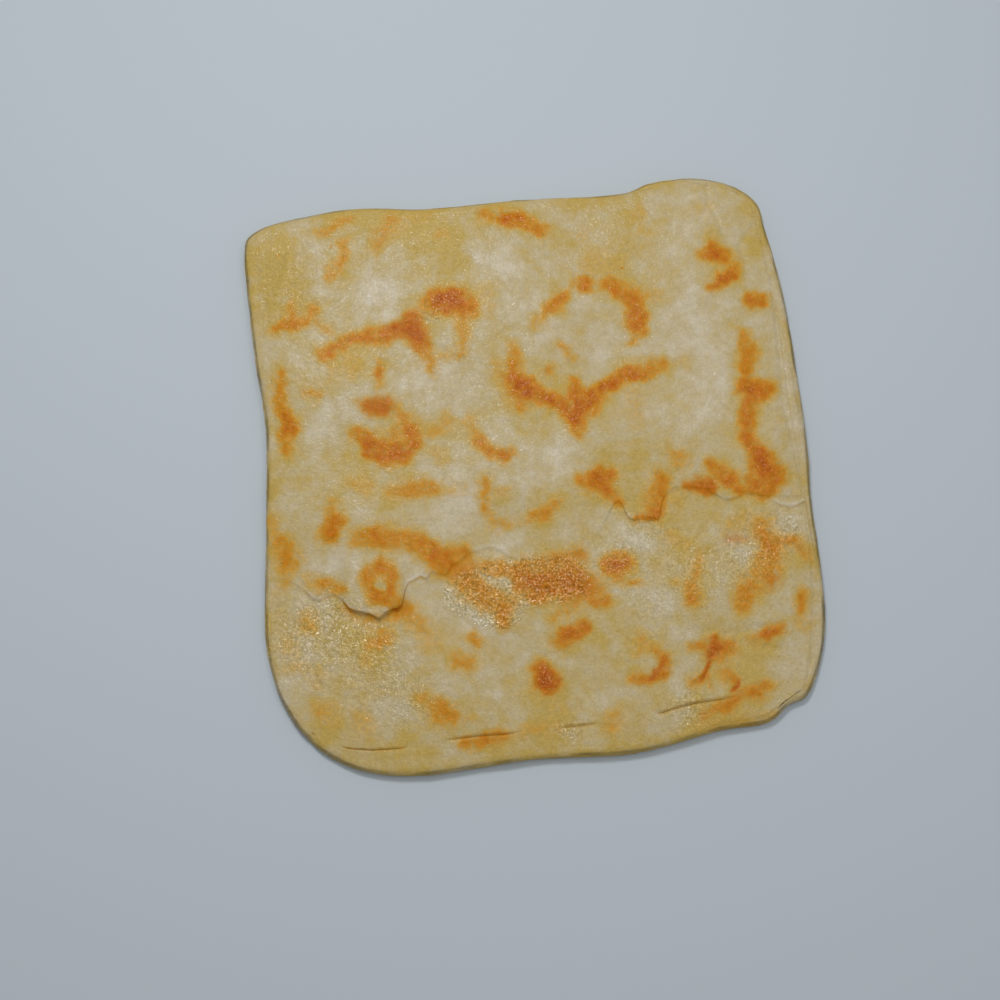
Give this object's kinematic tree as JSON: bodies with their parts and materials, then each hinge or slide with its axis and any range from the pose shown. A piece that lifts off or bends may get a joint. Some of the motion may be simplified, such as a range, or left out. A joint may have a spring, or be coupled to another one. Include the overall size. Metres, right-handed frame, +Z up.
{
  "type": "msemen flatbread",
  "caption": "Square layered flatbread, folded in thirds, with rounded corners, a torn top flap, rolled rim and browned griddle spots; lies flat.",
  "frame": {"origin": "middle of the flat underside, under the centre of the bounding box", "axes": "+Z up out of the browned top, +Y towards the back edge that the last fold comes from, +X to the side where the topmost ply stops short"},
  "size_m": [0.2116, 0.2212, 0.0088],
  "materials": {
    "fried_dough": "pale griddled dough, slightly oily, with orange-brown spots where it touched the griddle"
  },
  "bodies": {
    "root": {"msemen": "fried_dough"}
  },
  "joints": []
}
